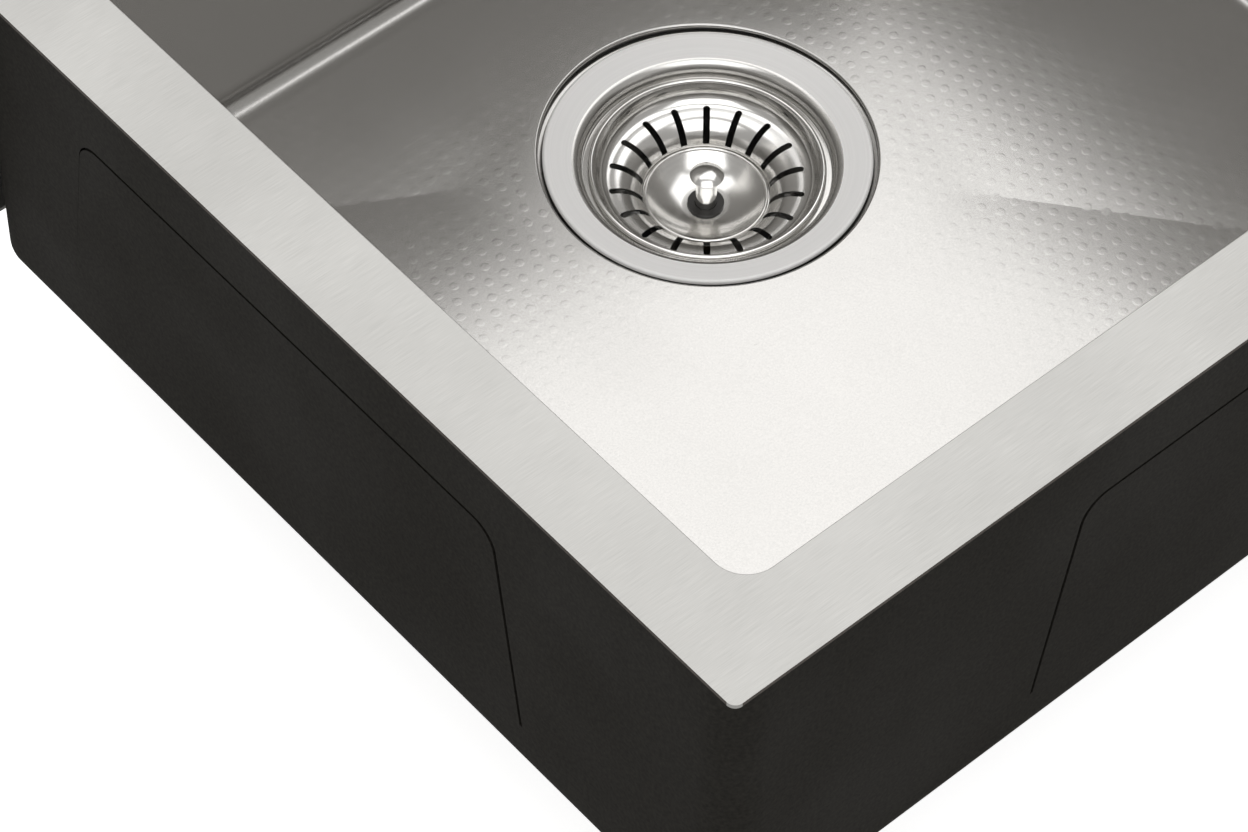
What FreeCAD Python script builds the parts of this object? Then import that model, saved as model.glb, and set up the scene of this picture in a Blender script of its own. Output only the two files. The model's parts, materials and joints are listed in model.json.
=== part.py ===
import FreeCAD, Part
import math
import os

import Sketcher
from FreeCAD import Placement, Rotation, Vector

# Apron-front kitchen sink of folded stainless sheet with a lift-out basket strainer.
#
# Frame: millimetres, +Z up. The origin is the middle of the bowl's opening, on the top face of the
# rim. The apron faces -Y, and +X is to the right of someone who stands in front of it. The pieces of
# the strainer are drawn about their own axis, with z = 0 on the top face of the strainer's flange,
# and each one's Placement carries it to the drain.

doc = FreeCAD.newDocument("apron_sink")
sheet = doc.addObject("Spreadsheet::Sheet", "Sizes")


class Size:
    """A length: its value in millimetres and the sheet expression that gives it."""

    def __init__(self, value, text):
        self.value = float(value)
        self.text = text

    def __add__(self, other):
        other = as_size(other)
        return Size(self.value + other.value, f"({self.text} + {other.text})")

    def __sub__(self, other):
        other = as_size(other)
        return Size(self.value - other.value, f"({self.text} - {other.text})")

    def __mul__(self, other):
        other = as_size(other)
        return Size(self.value * other.value, f"({self.text} * {other.text})")

    def __truediv__(self, other):
        other = as_size(other)
        return Size(self.value / other.value, f"({self.text} / {other.text})")

    def __neg__(self):
        return Size(-self.value, f"(0 - {self.text})")

    def root(self):
        return Size(math.sqrt(self.value), f"sqrt({self.text})")


def as_size(number):
    """Wrap a plain number, so that it can stand in a sum of sizes."""
    if isinstance(number, Size):
        return number
    return Size(number, f"({number})")


def size(alias, value):
    """Write one driving dimension to the sheet and return it as a Size."""
    size.row += 1
    sheet.set(f"A{size.row}", alias)
    sheet.set(f"B{size.row}", str(value))
    sheet.setAlias(f"B{size.row}", alias)
    return Size(value, f"Sizes.{alias}")


size.row = 0

# Bowl: clear inside sizes, and depths below the top face of the rim.
bowl_width = size("bowl_width", 402)
bowl_length = size("bowl_length", 360)
bowl_depth = size("bowl_depth", 185)
corner_radius = size("corner_radius", 11)
floor_radius = size("floor_radius", 7)
bowl_sheet = size("bowl_sheet", 1.2)
floor_fall = size("floor_fall", 6)
crease_inset = size("crease_inset", 2)
apex_half = size("apex_half", 4)

# Rim and apron.
rim_width = size("rim_width", 28)
rim_sheet = size("rim_sheet", 1.5)
rim_corner = size("rim_corner", 3)
rim_edge = size("rim_edge", 0.4)
front_strip = size("front_strip", 52)
apron_height = size("apron_height", 205)
apron_return = size("apron_return", 40)
apron_sheet = size("apron_sheet", 1.5)
apron_bend = size("apron_bend", 6)
apron_lip = size("apron_lip", 24)

# Sound-deadening coat, and the pads let into it.
coat_thickness = size("coat_thickness", 1.8)
pad_groove = size("pad_groove", 1.2)
pad_top = size("pad_top", 80)
pad_height = size("pad_height", 85)
pad_corner = size("pad_corner", 10)
pad_flare = size("pad_flare", 13)
back_pad_width = size("back_pad_width", 126)
side_pad_width = size("side_pad_width", 198)
side_pad_shift = size("side_pad_shift", 22)
coat_drain_gap = size("coat_drain_gap", 8)
apron_pad_width = size("apron_pad_width", 300)
apron_pad_height = size("apron_pad_height", 110)
apron_pad_thickness = size("apron_pad_thickness", 2.5)

# Drain: where it is in the bowl, and the pressed recess that its flange lies in.
drain_side = size("drain_side", 8)
drain_front = size("drain_front", 61)
drain_hole_radius = size("drain_hole_radius", 45)
recess_gap = size("recess_gap", 1.5)
recess_drop = size("recess_drop", 1.2)

# Strainer body.
flange_radius = size("flange_radius", 57)
flange_thickness = size("flange_thickness", 1.5)
flange_edge = size("flange_edge", 0.9)
flange_fall = size("flange_fall", 2.6)
shoulder_radius = size("shoulder_radius", 4.3)
shoulder_outer = size("shoulder_outer", 47.6)
neck_clearance = size("neck_clearance", 0.7)
neck_length = size("neck_length", 24)
ledge_depth = size("ledge_depth", 8.7)
cup_radius = size("cup_radius", 39.8)
cup_wall = size("cup_wall", 2.6)
cup_bottom_radius = size("cup_bottom_radius", 6)
cup_floor_slope = size("cup_floor_slope", 1.4)
outlet_radius = size("outlet_radius", 17.8)
spigot_radius = size("spigot_radius", 23.9)
spigot_length = size("spigot_length", 22)

# Rings that clamp the strainer body to the bowl.
gasket_thickness = size("gasket_thickness", 1)
gasket_inset = size("gasket_inset", 1)
washer_thickness = size("washer_thickness", 2)
washer_radius = size("washer_radius", 57)
friction_ring_thickness = size("friction_ring_thickness", 1)
friction_ring_radius = size("friction_ring_radius", 56)
ring_clearance = size("ring_clearance", 0.7)
nut_height = size("nut_height", 11)
nut_radius = size("nut_radius", 51)
nut_lug_radius = size("nut_lug_radius", 58)
nut_lug_width = size("nut_lug_width", 9)
nut_lugs = size("nut_lugs", 8)
thread_clearance = size("thread_clearance", 0.2)

# Basket. The heights are depths below the top of the strainer's flange. The slot turn is in degrees.
basket_sheet = size("basket_sheet", 0.8)
lip_radius = size("lip_radius", 41.2)
lip_bead = size("lip_bead", 1)
seat_gap = size("seat_gap", 0.3)
hollow_radius = size("hollow_radius", 5.2)
hump_radius = size("hump_radius", 12.2)
slot_outer = size("slot_outer", 34.2)
slot_width = size("slot_width", 2.4)
slot_count = size("slot_count", 18)
slot_inner_gap = size("slot_inner_gap", 0.4)
slot_turn = size("slot_turn", 8.5)
dish_radius = size("dish_radius", 21.7)
dish_rim_height = size("dish_rim_height", 1.1)
dish_rim_width = size("dish_rim_width", 1.3)
dish_depth = size("dish_depth", 5.3)
dish_flat_radius = size("dish_flat_radius", 8)
dish_sheet = size("dish_sheet", 0.8)
dish_clearance = size("dish_clearance", 0.3)
dish_curve = size("dish_curve", 30)

# Post, stopper and what holds them in the basket.
post_radius = size("post_radius", 3.75)
post_clearance = size("post_clearance", 0.1)
knob_radius = size("knob_radius", 6)
knob_height = size("knob_height", 4.2)
knob_lift = size("knob_lift", 16.8)
knob_underside = size("knob_underside", 2.6)
stroke = size("stroke", 9)
bush_flange_radius = size("bush_flange_radius", 6.4)
bush_flange_height = size("bush_flange_height", 0.8)
bush_radius = size("bush_radius", 5)
bush_length = size("bush_length", 6.4)
bush_nut_height = size("bush_nut_height", 3.2)
bush_nut_flats = size("bush_nut_flats", 14)
clip_gap = size("clip_gap", 0.4)
clip_height = size("clip_height", 0.8)
clip_radius = size("clip_radius", 6)
clip_depth = size("clip_depth", 0.5)
stud_radius = size("stud_radius", 2.5)
plate_radius = size("plate_radius", 20)
plate_thickness = size("plate_thickness", 1.2)
stopper_radius = size("stopper_radius", 23)
stopper_rim = size("stopper_rim", 3)
stopper_cone = size("stopper_cone", 3)
stopper_foot = size("stopper_foot", 18)
post_nut_height = size("post_nut_height", 4)
post_nut_flats = size("post_nut_flats", 8)
stud_end = size("stud_end", 1.5)

doc.recompute()

# Places that several pieces share.
nothing = Size(0, "0")
half_width = bowl_width / 2
half_length = bowl_length / 2
apron_face = half_length + front_strip
deck_front = apron_face - apron_return
outer_half_width = half_width + rim_width
bowl_outside = bowl_depth + bowl_sheet
recess_radius = flange_radius + recess_gap
recess_depth = bowl_depth + floor_fall + recess_drop
flange_depth = recess_depth - gasket_thickness - flange_thickness
crease_edge = floor_radius + crease_inset
neck_radius = drain_hole_radius - neck_clearance
throat_radius = shoulder_outer - shoulder_radius
flange_slope = flange_fall / (flange_radius - flange_edge - shoulder_outer)

# Depths below the flange's top face, along the strainer's axis.
lip_depth = ledge_depth - seat_gap - lip_bead
hump_depth = lip_depth + lip_bead + basket_sheet / 2 + hollow_radius - basket_sheet / 4
basket_outer = lip_radius - lip_bead * 2
hump_centre_radius = basket_outer - basket_sheet - hollow_radius
dish_seat_radius = dish_radius + dish_clearance
hump_reach = hump_centre_radius - dish_seat_radius
hump_end_depth = hump_depth + hump_radius - (hump_radius * hump_radius - hump_reach * hump_reach).root()
dish_seat_depth = hump_end_depth + basket_sheet
dish_top_depth = dish_seat_depth - dish_rim_height
dish_floor_depth = dish_top_depth + dish_depth
bush_end_depth = dish_floor_depth + bush_length
clip_top_depth = bush_end_depth + clip_gap
plate_top_depth = clip_top_depth + clip_height * 2
stopper_top_depth = plate_top_depth + plate_thickness
stopper_cone_depth = stopper_top_depth + stopper_rim
stopper_foot_depth = stopper_cone_depth + stopper_cone
stopper_slope = stopper_cone / (stopper_radius - stopper_foot)
seat_top_depth = stopper_cone_depth + stroke + seat_gap
outlet_depth = seat_top_depth + (stopper_radius - outlet_radius) * stopper_slope
cup_floor_depth = seat_top_depth - cup_floor_slope
spigot_end_depth = outlet_depth + spigot_length


def bind(thing, name, value):
    """Set one property of a document object by a sheet expression."""
    thing.setExpression(name, as_size(value).text)


def plane(body, role):
    """Return one of a body's own origin planes or axes."""
    return next(item for item in body.Origin.OriginFeatures if item.Role == role)


def new_body(label):
    body = doc.addObject("PartDesign::Body", label)
    body.Label = label
    return body


def new_sketch(body, name, role="XY_Plane", offset=None):
    """Attach a sketch to an origin plane of its body, moved along the plane's normal by an offset."""
    sketch = body.newObject("Sketcher::SketchObject", name)
    sketch.AttachmentSupport = [(plane(body, role), "")]
    sketch.MapMode = "FlatFace"
    if offset is not None:
        bind(sketch, "AttachmentOffset.Base.z", offset)
    doc.recompute()
    return sketch


def fix(sketch, kind, *places, value):
    """Add a dimension to a sketch and bind it to its expression."""
    value = as_size(value)
    index = sketch.addConstraint(Sketcher.Constraint(kind, *places, value.value))
    sketch.setExpression(f"Constraints[{index}]", value.text)


def outline(sketch, *steps):
    """Draw a closed outline. A step is the (x, y) that a straight edge leads to, or, for an arc,
    (x, y, radius, way), where way is +1 for a left-hand turn and -1 for a right-hand one."""
    spots = [(as_size(step[0]), as_size(step[1])) for step in steps]
    ends = []
    for index, step in enumerate(steps):
        start = Vector(spots[index - 1][0].value, spots[index - 1][1].value, 0)
        end = Vector(spots[index][0].value, spots[index][1].value, 0)
        if len(step) == 2:
            edge = sketch.addGeometry(Part.LineSegment(start, end), False)
            ends.append((edge, 1, 2))
            continue
        radius, way = as_size(step[2]), step[3]
        half = (end - start) * 0.5
        height = math.sqrt(max(radius.value**2 - half.Length**2, 0))
        side = Vector(-half.y, half.x, 0).normalize() * way
        centre = start + half + side * height
        first, last = (start, end) if way > 0 else (end, start)
        angles = [math.atan2(spot.y - centre.y, spot.x - centre.x) for spot in (first, last)]
        circle = Part.Circle(centre, Vector(0, 0, 1), radius.value)
        edge = sketch.addGeometry(Part.ArcOfCircle(circle, *angles), False)
        ends.append((edge, 1, 2) if way > 0 else (edge, 2, 1))
        fix(sketch, "Radius", edge, value=radius)
    for index, (edge, _, last) in enumerate(ends):
        following, first, _ = ends[(index + 1) % len(ends)]
        sketch.addConstraint(Sketcher.Constraint("Coincident", edge, last, following, first))
        fix(sketch, "DistanceX", -1, 1, edge, last, value=spots[index][0])
        fix(sketch, "DistanceY", -1, 1, edge, last, value=spots[index][1])
    doc.recompute()


def rounded_rectangle(sketch, west, east, south, north, radius):
    outline(
        sketch,
        (east - radius, south),
        (east, south + radius, radius, 1),
        (east, north - radius),
        (east - radius, north, radius, 1),
        (west + radius, north),
        (west, north - radius, radius, 1),
        (west, south + radius),
        (west + radius, south, radius, 1),
    )


def circle_at(sketch, x, y, radius):
    x, y, radius = as_size(x), as_size(y), as_size(radius)
    ring = Part.Circle(Vector(x.value, y.value, 0), Vector(0, 0, 1), radius.value)
    edge = sketch.addGeometry(ring, False)
    fix(sketch, "DistanceX", -1, 1, edge, 3, value=x)
    fix(sketch, "DistanceY", -1, 1, edge, 3, value=y)
    fix(sketch, "Radius", edge, value=radius)
    doc.recompute()


def pad(body, sketch, length, reverse=False):
    feature = body.newObject("PartDesign::Pad", sketch.Name + "_pad")
    feature.Profile = sketch
    feature.Reversed = reverse
    bind(feature, "Length", length)
    doc.recompute()
    return feature


def cut(body, sketch, length=None, reverse=False, both_ways=False):
    """Pocket a sketch, through everything where no length is given, and see that it cut."""
    before = body.Shape.Volume
    feature = body.newObject("PartDesign::Pocket", sketch.Name + "_cut")
    feature.Profile = sketch
    feature.Reversed = reverse
    feature.Midplane = both_ways
    if length is None:
        feature.Type = "ThroughAll"
    else:
        bind(feature, "Length", length)
    doc.recompute()
    if body.Shape.Volume >= before:
        raise RuntimeError(feature.Name + " cuts nothing")
    return feature


def turn(body, sketch):
    """Revolve a sketch about its own vertical axis."""
    feature = body.newObject("PartDesign::Revolution", sketch.Name + "_turn")
    feature.Profile = sketch
    feature.ReferenceAxis = (sketch, ["V_Axis"])
    feature.Angle = 360
    doc.recompute()
    return feature


def pattern(body, feature, count):
    """Repeat a feature around the body's Z axis."""
    ring = body.newObject("PartDesign::PolarPattern", feature.Name + "_ring")
    ring.Originals = [feature]
    ring.Axis = (plane(body, "Z_Axis"), [""])
    ring.Angle = 360
    bind(ring, "Occurrences", count)
    body.Tip = ring
    doc.recompute()
    return ring


def round_edges(body, radius, wanted):
    """Fillet the edges of the body's tip that a test on each edge picks out."""
    base = body.Tip
    names = [f"Edge{i + 1}" for i, edge in enumerate(base.Shape.Edges) if wanted(edge)]
    if not names:
        raise RuntimeError(f"{body.Label} has no edge to round")
    feature = body.newObject("PartDesign::Fillet", f"{body.Name}_fillet")
    feature.Base = (base, names)
    bind(feature, "Radius", radius)
    doc.recompute()
    return feature


def close(first, second):
    return abs(first - as_size(second).value) < 0.01


def flat_at(depth):
    """Pick the edges that lie whole in one horizontal plane, at a depth below z = 0."""
    return lambda edge: all(close(-vertex.Z, depth) for vertex in edge.Vertexes)


def place_at_drain(body):
    """Carry a piece of the strainer from its own axis to the drain."""
    bind(body, "Placement.Base.x", -drain_side)
    bind(body, "Placement.Base.y", -drain_front)
    bind(body, "Placement.Base.z", -flange_depth)


def turned_piece(label, *steps):
    """A piece of the strainer that is one revolved profile of radius and height."""
    body = new_body(label)
    sketch = new_sketch(body, label + "_profile", "XZ_Plane")
    outline(sketch, *steps)
    turn(body, sketch)
    place_at_drain(body)
    return body


def ring_piece(label, inner, outer, top, bottom):
    """A flat ring about the strainer's axis, from one depth to another."""
    return turned_piece(label, (inner, -top), (inner, -bottom), (outer, -bottom), (outer, -top))


def dished(radius, depth):
    """The depth, at a radius, of a face along the flange's slope that has a depth at the flange's rim."""
    return depth + (flange_radius - radius) * flange_slope


def recess_cone(body, kind, outer, depth):
    """The dished floor of the recess, from the drain's hole out. Its depth is under the flange's rim."""
    cone = body.newObject("PartDesign::" + kind, kind)
    cone.AttachmentSupport = [(plane(body, "XY_Plane"), "")]
    cone.MapMode = "FlatFace"
    bind(cone, "AttachmentOffset.Base.x", -drain_side)
    bind(cone, "AttachmentOffset.Base.y", -drain_front)
    bind(cone, "AttachmentOffset.Base.z", -dished(drain_hole_radius, depth))
    bind(cone, "Radius1", drain_hole_radius)
    bind(cone, "Radius2", outer)
    bind(cone, "Height", (outer - drain_hole_radius) * flange_slope)
    doc.recompute()


def floor_wedge(body, kind, depth):
    """The four facets of the floor: they fall from the foot of the walls to the drain's axis."""
    wedge = body.newObject("PartDesign::" + kind, kind)
    wedge.AttachmentSupport = [(plane(body, "XY_Plane"), "")]
    wedge.MapMode = "FlatFace"
    wedge.AttachmentOffset = Placement(Vector(0, 0, 0), Rotation(Vector(1, 0, 0), -90))
    bind(wedge, "AttachmentOffset.Base.z", -depth)
    bind(wedge, "Xmin", crease_edge - half_width)
    bind(wedge, "Xmax", half_width - crease_edge)
    bind(wedge, "Zmin", crease_edge - half_length)
    bind(wedge, "Zmax", half_length - crease_edge)
    bind(wedge, "Ymin", 0)
    bind(wedge, "Ymax", floor_fall)
    bind(wedge, "X2min", -drain_side - apex_half)
    bind(wedge, "X2max", -drain_side + apex_half)
    bind(wedge, "Z2min", -drain_front - apex_half)
    bind(wedge, "Z2max", -drain_front + apex_half)
    doc.recompute()


def grown_rectangle(body, name, grow):
    """The bowl's outline, larger all round by grow, drawn on the underside of the rim."""
    sketch = new_sketch(body, name, offset=-rim_sheet)
    east, north = half_width + grow, half_length + grow
    rounded_rectangle(sketch, -east, east, -north, north, corner_radius + grow)
    return sketch


def pan(body, inner, outer):
    """Walls and a flat floor between two outlines that lie inner and outer beyond the clear bowl."""
    block = grown_rectangle(body, "outside", outer)
    pad(body, block, bowl_depth + outer - rim_sheet, reverse=True)
    hollow = grown_rectangle(body, "inside", inner)
    cut(body, hollow, bowl_depth + inner - rim_sheet)
    round_edges(body, floor_radius + inner, flat_at(bowl_depth + inner))
    round_edges(body, floor_radius + outer, flat_at(bowl_depth + outer))
    floor_wedge(body, "AdditiveWedge", bowl_depth + outer)


def round_the_opening(edge):
    """Pick the edges of the bowl's opening on the top face of the rim."""
    box = edge.BoundBox
    across = max(-box.XMin, box.XMax) < half_width.value + 0.01
    along = max(-box.YMin, box.YMax) < half_length.value + 0.01
    return across and along and flat_at(0)(edge)


def make_rim_plate():
    """The flat frame round the opening: one laser-cut sheet, brushed after it is welded on."""
    body = new_body("rim_plate")
    sketch = new_sketch(body, "rim_outline")
    east, north, south = outer_half_width, half_length + rim_width, -deck_front
    outline(
        sketch,
        (-east, south),
        (east, south),
        (east, north - rim_corner),
        (east - rim_corner, north, rim_corner, 1),
        (-east + rim_corner, north),
        (-east, north - rim_corner, rim_corner, 1),
    )
    rounded_rectangle(sketch, -half_width, half_width, -half_length, half_length, corner_radius)
    pad(body, sketch, rim_sheet, reverse=True)
    round_edges(body, rim_edge, round_the_opening)
    return body


def make_sink_bowl():
    """The bowl: bent walls, a floor creased from its corners to the drain, and the drain's recess."""
    body = new_body("sink_bowl")
    pan(body, nothing, bowl_sheet)
    outer, under = recess_radius + bowl_sheet, recess_depth + bowl_sheet
    boss = new_sketch(body, "recess_boss", offset=-bowl_outside)
    circle_at(boss, -drain_side, -drain_front, outer)
    pad(body, boss, dished(outer, under) - bowl_outside, reverse=True)
    recess_cone(body, "AdditiveCone", outer, under)
    floor_wedge(body, "SubtractiveWedge", bowl_depth)
    recess = new_sketch(body, "recess", offset=-bowl_depth)
    circle_at(recess, -drain_side, -drain_front, recess_radius)
    cut(body, recess, dished(recess_radius, recess_depth) - bowl_depth)
    recess_cone(body, "SubtractiveCone", recess_radius, recess_depth)
    hole = new_sketch(body, "drain_hole", offset=-bowl_depth)
    circle_at(hole, -drain_side, -drain_front, drain_hole_radius)
    cut(body, hole)
    return body


def make_apron_panel():
    """The apron: a tray open at the back, folded from one sheet, with its foot turned under."""
    body = new_body("apron_panel")
    sketch = new_sketch(body, "apron_block")
    outline(
        sketch,
        (-outer_half_width, -apron_face),
        (outer_half_width, -apron_face),
        (outer_half_width, -deck_front),
        (-outer_half_width, -deck_front),
    )
    pad(body, sketch, apron_height, reverse=True)
    round_edges(body, apron_bend, lambda edge: close(-edge.BoundBox.YMax, apron_face))
    base = body.Tip
    faces = enumerate(base.Shape.Faces)
    back = [f"Face{i + 1}" for i, face in faces if close(-face.BoundBox.YMin, deck_front)]
    shell = body.newObject("PartDesign::Thickness", "apron_shell")
    shell.Base = (base, back)
    shell.Reversed = True
    shell.Join = 0
    bind(shell, "Value", apron_sheet)
    doc.recompute()
    lip = new_sketch(body, "lip_trim", offset=-apron_height)
    outline(
        lip,
        (-outer_half_width + apron_sheet, -apron_face + apron_lip),
        (outer_half_width - apron_sheet, -apron_face + apron_lip),
        (outer_half_width - apron_sheet, -deck_front),
        (-outer_half_width + apron_sheet, -deck_front),
    )
    cut(body, lip, apron_sheet, reverse=True)
    return body


def trapezoid(sketch, middle, width, grow):
    """A pad's outline on a wall: wider at its foot, larger on all sides but the foot by grow."""
    top = width / 2 + grow
    foot = width / 2 + pad_flare + grow
    outline(
        sketch,
        (middle - foot, -pad_top - pad_height),
        (middle + foot, -pad_top - pad_height),
        (middle + top, -pad_top + grow),
        (middle - top, -pad_top + grow),
    )


def pad_corners(axis, width, middle, grow):
    """Pick the short edges across the wall at the two top corners of a pad or its window."""
    across = width / 2 + grow
    level = flat_at(pad_top - grow)

    def wanted(edge):
        spots = [getattr(vertex, axis) for vertex in edge.Vertexes]
        at_corner = [close(abs(spot - middle.value), across) for spot in spots]
        return level(edge) and all(at_corner) and close(spots[0], spots[-1])

    return wanted


def make_undercoat():
    """The sprayed coat on the outside of the bowl, with a window round each pad and the drain."""
    body = new_body("undercoat")
    pan(body, bowl_sheet, bowl_sheet + coat_thickness)
    floor_wedge(body, "SubtractiveWedge", bowl_outside)
    around = new_sketch(body, "drain_window")
    circle_at(around, -drain_side, -drain_front, recess_radius + coat_drain_gap)
    cut(body, around)
    sides = new_sketch(body, "side_windows", "YZ_Plane")
    trapezoid(sides, -side_pad_shift, side_pad_width, pad_groove)
    cut(body, sides, both_ways=True)
    round_edges(body, pad_corner, pad_corners("Y", side_pad_width, -side_pad_shift, pad_groove))
    ends = new_sketch(body, "end_windows", "XZ_Plane")
    trapezoid(ends, nothing, back_pad_width, pad_groove)
    cut(body, ends, both_ways=True)
    round_edges(body, pad_corner, pad_corners("X", back_pad_width, nothing, pad_groove))
    return body


def make_sound_pad(label, role, wall, width, middle, reverse):
    """A rubber pad stuck to one wall of the bowl, flush with the coat around it."""
    body = new_body(label)
    sketch = new_sketch(body, label + "_outline", role, wall)
    trapezoid(sketch, middle, width, nothing)
    pad(body, sketch, coat_thickness, reverse)
    axis = "Y" if role == "YZ_Plane" else "X"
    round_edges(body, pad_corner, pad_corners(axis, width, middle, nothing))
    return body


def make_sound_pads():
    side, end = half_width + bowl_sheet, half_length + bowl_sheet
    make_sound_pad("sound_pad_right", "YZ_Plane", side, side_pad_width, -side_pad_shift, False)
    make_sound_pad("sound_pad_left", "YZ_Plane", -side, side_pad_width, -side_pad_shift, True)
    make_sound_pad("sound_pad_back", "XZ_Plane", -end, back_pad_width, nothing, True)
    make_sound_pad("sound_pad_front", "XZ_Plane", end, back_pad_width, nothing, False)


def make_apron_pad():
    """The pad behind the apron, stuck to the inner face of its sheet."""
    body = new_body("sound_pad_apron")
    sketch = new_sketch(body, "apron_pad_outline", "XZ_Plane", apron_face - apron_sheet)
    middle = apron_height / 2
    outline(
        sketch,
        (-apron_pad_width / 2, -middle - apron_pad_height / 2),
        (apron_pad_width / 2, -middle - apron_pad_height / 2),
        (apron_pad_width / 2, -middle + apron_pad_height / 2),
        (-apron_pad_width / 2, -middle + apron_pad_height / 2),
    )
    pad(body, sketch, apron_pad_thickness, reverse=True)
    return body


def make_strainer_body():
    """The strainer's body: dished flange, shoulder, basket ledge, cup, stopper seat and outlet."""
    floor_edge = cup_radius - cup_bottom_radius
    outside = cup_radius + cup_wall
    return turned_piece(
        "strainer_body",
        (shoulder_outer, -flange_fall),
        (throat_radius, -flange_fall - shoulder_radius, shoulder_radius, 1),
        (throat_radius, -ledge_depth),
        (cup_radius, -ledge_depth),
        (cup_radius, -cup_floor_depth + cup_bottom_radius),
        (floor_edge, -cup_floor_depth, cup_bottom_radius, -1),
        (stopper_radius, -seat_top_depth),
        (outlet_radius, -outlet_depth),
        (outlet_radius, -spigot_end_depth),
        (spigot_radius, -spigot_end_depth),
        (spigot_radius, -outlet_depth - cup_wall),
        (floor_edge, -cup_floor_depth - cup_wall),
        (outside, -cup_floor_depth + cup_bottom_radius, cup_bottom_radius + cup_wall, 1),
        (outside, -neck_length - cup_wall),
        (neck_radius, -neck_length),
        (neck_radius, -dished(neck_radius, flange_thickness)),
        (flange_radius, -flange_thickness),
        (flange_radius, -flange_edge),
        (flange_radius - flange_edge, 0, flange_edge, 1),
    )


def make_clamp_rings():
    """What holds the strainer to the bowl: a gasket above the floor, and three rings below it."""
    bore = neck_radius + ring_clearance
    under_gasket = flange_thickness + gasket_thickness
    under_bowl = under_gasket + bowl_sheet
    under_washer = dished(bore, under_bowl) + washer_thickness
    under_friction = under_washer + friction_ring_thickness
    gasket_outer = flange_radius - gasket_inset
    gasket_inner = drain_hole_radius + gasket_inset
    turned_piece(
        "flange_gasket",
        (gasket_inner, -dished(gasket_inner, flange_thickness)),
        (gasket_inner, -dished(gasket_inner, under_gasket)),
        (gasket_outer, -dished(gasket_outer, under_gasket)),
        (gasket_outer, -dished(gasket_outer, flange_thickness)),
    )
    turned_piece(
        "rubber_washer",
        (bore, -dished(bore, under_bowl)),
        (bore, -under_washer),
        (washer_radius, -under_washer),
        (washer_radius, -dished(washer_radius, under_bowl)),
    )
    ring_piece("friction_ring", bore, friction_ring_radius, under_washer, under_friction)
    make_lock_nut(under_friction)


def make_lock_nut(top):
    """The large ring nut under the sink, with lugs to turn it by."""
    bore = neck_radius + thread_clearance
    body = ring_piece("lock_nut", bore, nut_radius, top, top + nut_height)
    lug = new_sketch(body, "nut_lug", offset=-top)
    outline(
        lug,
        (nut_radius - nut_lug_width / 4, -nut_lug_width / 2),
        (nut_lug_radius, -nut_lug_width / 3),
        (nut_lug_radius, nut_lug_width / 3),
        (nut_radius - nut_lug_width / 4, nut_lug_width / 2),
    )
    feature = pad(body, lug, nut_height, reverse=True)
    pattern(body, feature, nut_lugs)
    return body


def make_basket_cup():
    """The basket: a rolled lip, a hollow, then a slotted hump that falls to the seat of the dish."""
    inside = basket_outer - basket_sheet
    under_radius = hump_radius - basket_sheet
    centre_depth = hump_depth + hump_radius
    under_seat = dish_seat_depth + basket_sheet
    under_drop = centre_depth - under_seat
    under_reach = (under_radius * under_radius - under_drop * under_drop).root()
    seat_inner = dish_radius - dish_rim_width + dish_clearance / 3
    body = turned_piece(
        "basket_cup",
        (inside, -hump_depth + hollow_radius),
        (hump_centre_radius, -hump_depth, hollow_radius, -1),
        (dish_seat_radius, -hump_end_depth, hump_radius, 1),
        (dish_seat_radius, -dish_seat_depth),
        (seat_inner, -dish_seat_depth),
        (seat_inner, -under_seat),
        (hump_centre_radius - under_reach, -under_seat),
        (hump_centre_radius, -hump_depth - basket_sheet, under_radius, -1),
        (basket_outer, -hump_depth + hollow_radius, hollow_radius + basket_sheet, 1),
        (basket_outer, -lip_depth - lip_bead),
        (basket_outer + lip_bead, -lip_depth - lip_bead),
        (lip_radius, -lip_depth, lip_bead, 1),
        (lip_radius - lip_bead, -lip_depth + lip_bead, lip_bead, 1),
        (basket_outer, -lip_depth, lip_bead, 1),
        (inside, -lip_depth - lip_bead),
    )
    slot = new_sketch(body, "slot")
    inner = dish_seat_radius + slot_inner_gap
    outline(
        slot,
        (inner, -slot_width / 2),
        (slot_outer - slot_width / 2, -slot_width / 2),
        (slot_outer, 0, slot_width / 2, 1),
        (slot_outer - slot_width / 2, slot_width / 2, slot_width / 2, 1),
        (inner, slot_width / 2),
    )
    slot.AttachmentOffset = Placement(Vector(0, 0, 0), Rotation(Vector(0, 0, 1), slot_turn.value))
    slot.setExpression("AttachmentOffset.Rotation.Angle", f"{slot_turn.text} * 1 deg")
    doc.recompute()
    pattern(body, cut(body, slot), slot_count)
    return body


def make_basket_dish():
    """The polished centre of the basket: a rolled rim and a shallow concave dish."""
    rim_inner = dish_radius - dish_rim_width
    under_floor = dish_floor_depth + dish_sheet
    half_rim = dish_rim_width / 2
    bore = bush_radius + post_clearance
    turned_piece(
        "basket_dish",
        (dish_radius, -dish_seat_depth),
        (dish_radius, -dish_top_depth - half_rim),
        (dish_radius - half_rim, -dish_top_depth, half_rim, 1),
        (rim_inner, -dish_top_depth - half_rim, half_rim, 1),
        (dish_flat_radius, -dish_floor_depth, dish_curve, -1),
        (bore, -dish_floor_depth),
        (bore, -under_floor),
        (dish_flat_radius, -under_floor),
        (rim_inner, -dish_seat_depth, dish_curve + dish_sheet, 1),
    )


def make_guide_bush():
    """The bush in the middle of the dish that the post slides through."""
    bore = post_radius + post_clearance
    turned_piece(
        "guide_bush",
        (bore, -dish_floor_depth + bush_flange_height),
        (bore, -bush_end_depth),
        (bush_radius, -bush_end_depth),
        (bush_radius, -dish_floor_depth),
        (bush_flange_radius, -dish_floor_depth),
        (bush_flange_radius, -dish_floor_depth + bush_flange_height),
    )


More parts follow.
